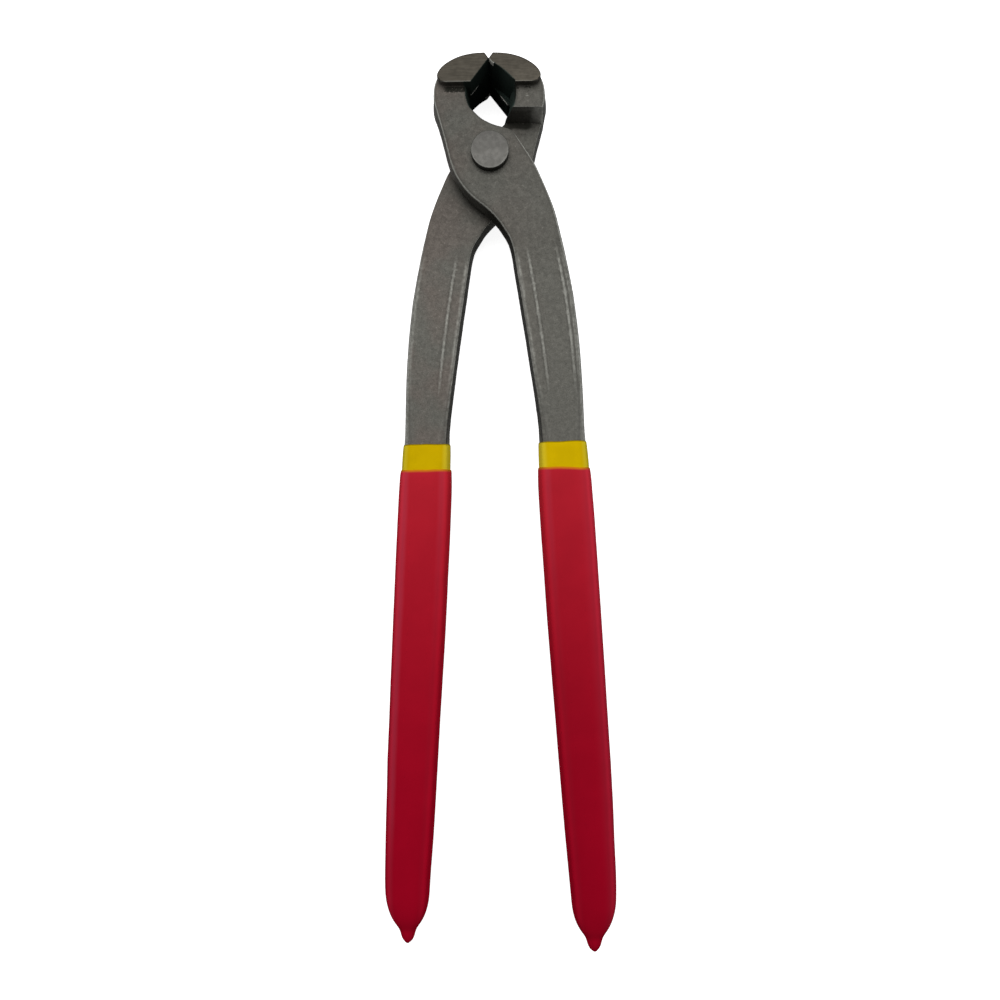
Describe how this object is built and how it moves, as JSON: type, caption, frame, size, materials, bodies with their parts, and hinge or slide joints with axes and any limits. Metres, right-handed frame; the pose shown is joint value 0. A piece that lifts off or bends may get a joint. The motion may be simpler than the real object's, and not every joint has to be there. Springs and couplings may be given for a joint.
{
  "type": "end cutting nippers",
  "caption": "Lap-jointed end cutting nippers with ground end jaws, a flat riveted pivot and long dipped grips, for twisting and cutting wire.",
  "frame": {"origin": "on the pivot axis, at the flat end of the rivet's tail, which is level with the lower sides of the blades", "axes": "+Y from the pivot to the cutting edges, +Z along the pivot axis towards the rivet's head, +X towards the side of the handle that lies on top"},
  "size_m": [0.0796, 0.3, 0.026],
  "materials": {
    "forged_steel": "dark forged, jaws ground",
    "rivet_steel": "satin",
    "yellow_dip": "smooth dipped vinyl",
    "red_dip": "smooth dipped vinyl, slight sheen"
  },
  "bodies": {
    "rear": {"rear_half": "forged_steel", "rear_under_coat": "yellow_dip", "rear_grip": "red_dip"},
    "front": {"front_half": "forged_steel", "pivot_rivet": "rivet_steel", "front_under_coat": "yellow_dip", "front_grip": "red_dip"}
  },
  "joints": [
    {"name": "pivot", "type": "hinge", "parent": "rear", "child": "front", "pos_m": [0, 0, 0.013], "axis": [0, 0, 1], "range_deg": [0, 60]}
  ]
}
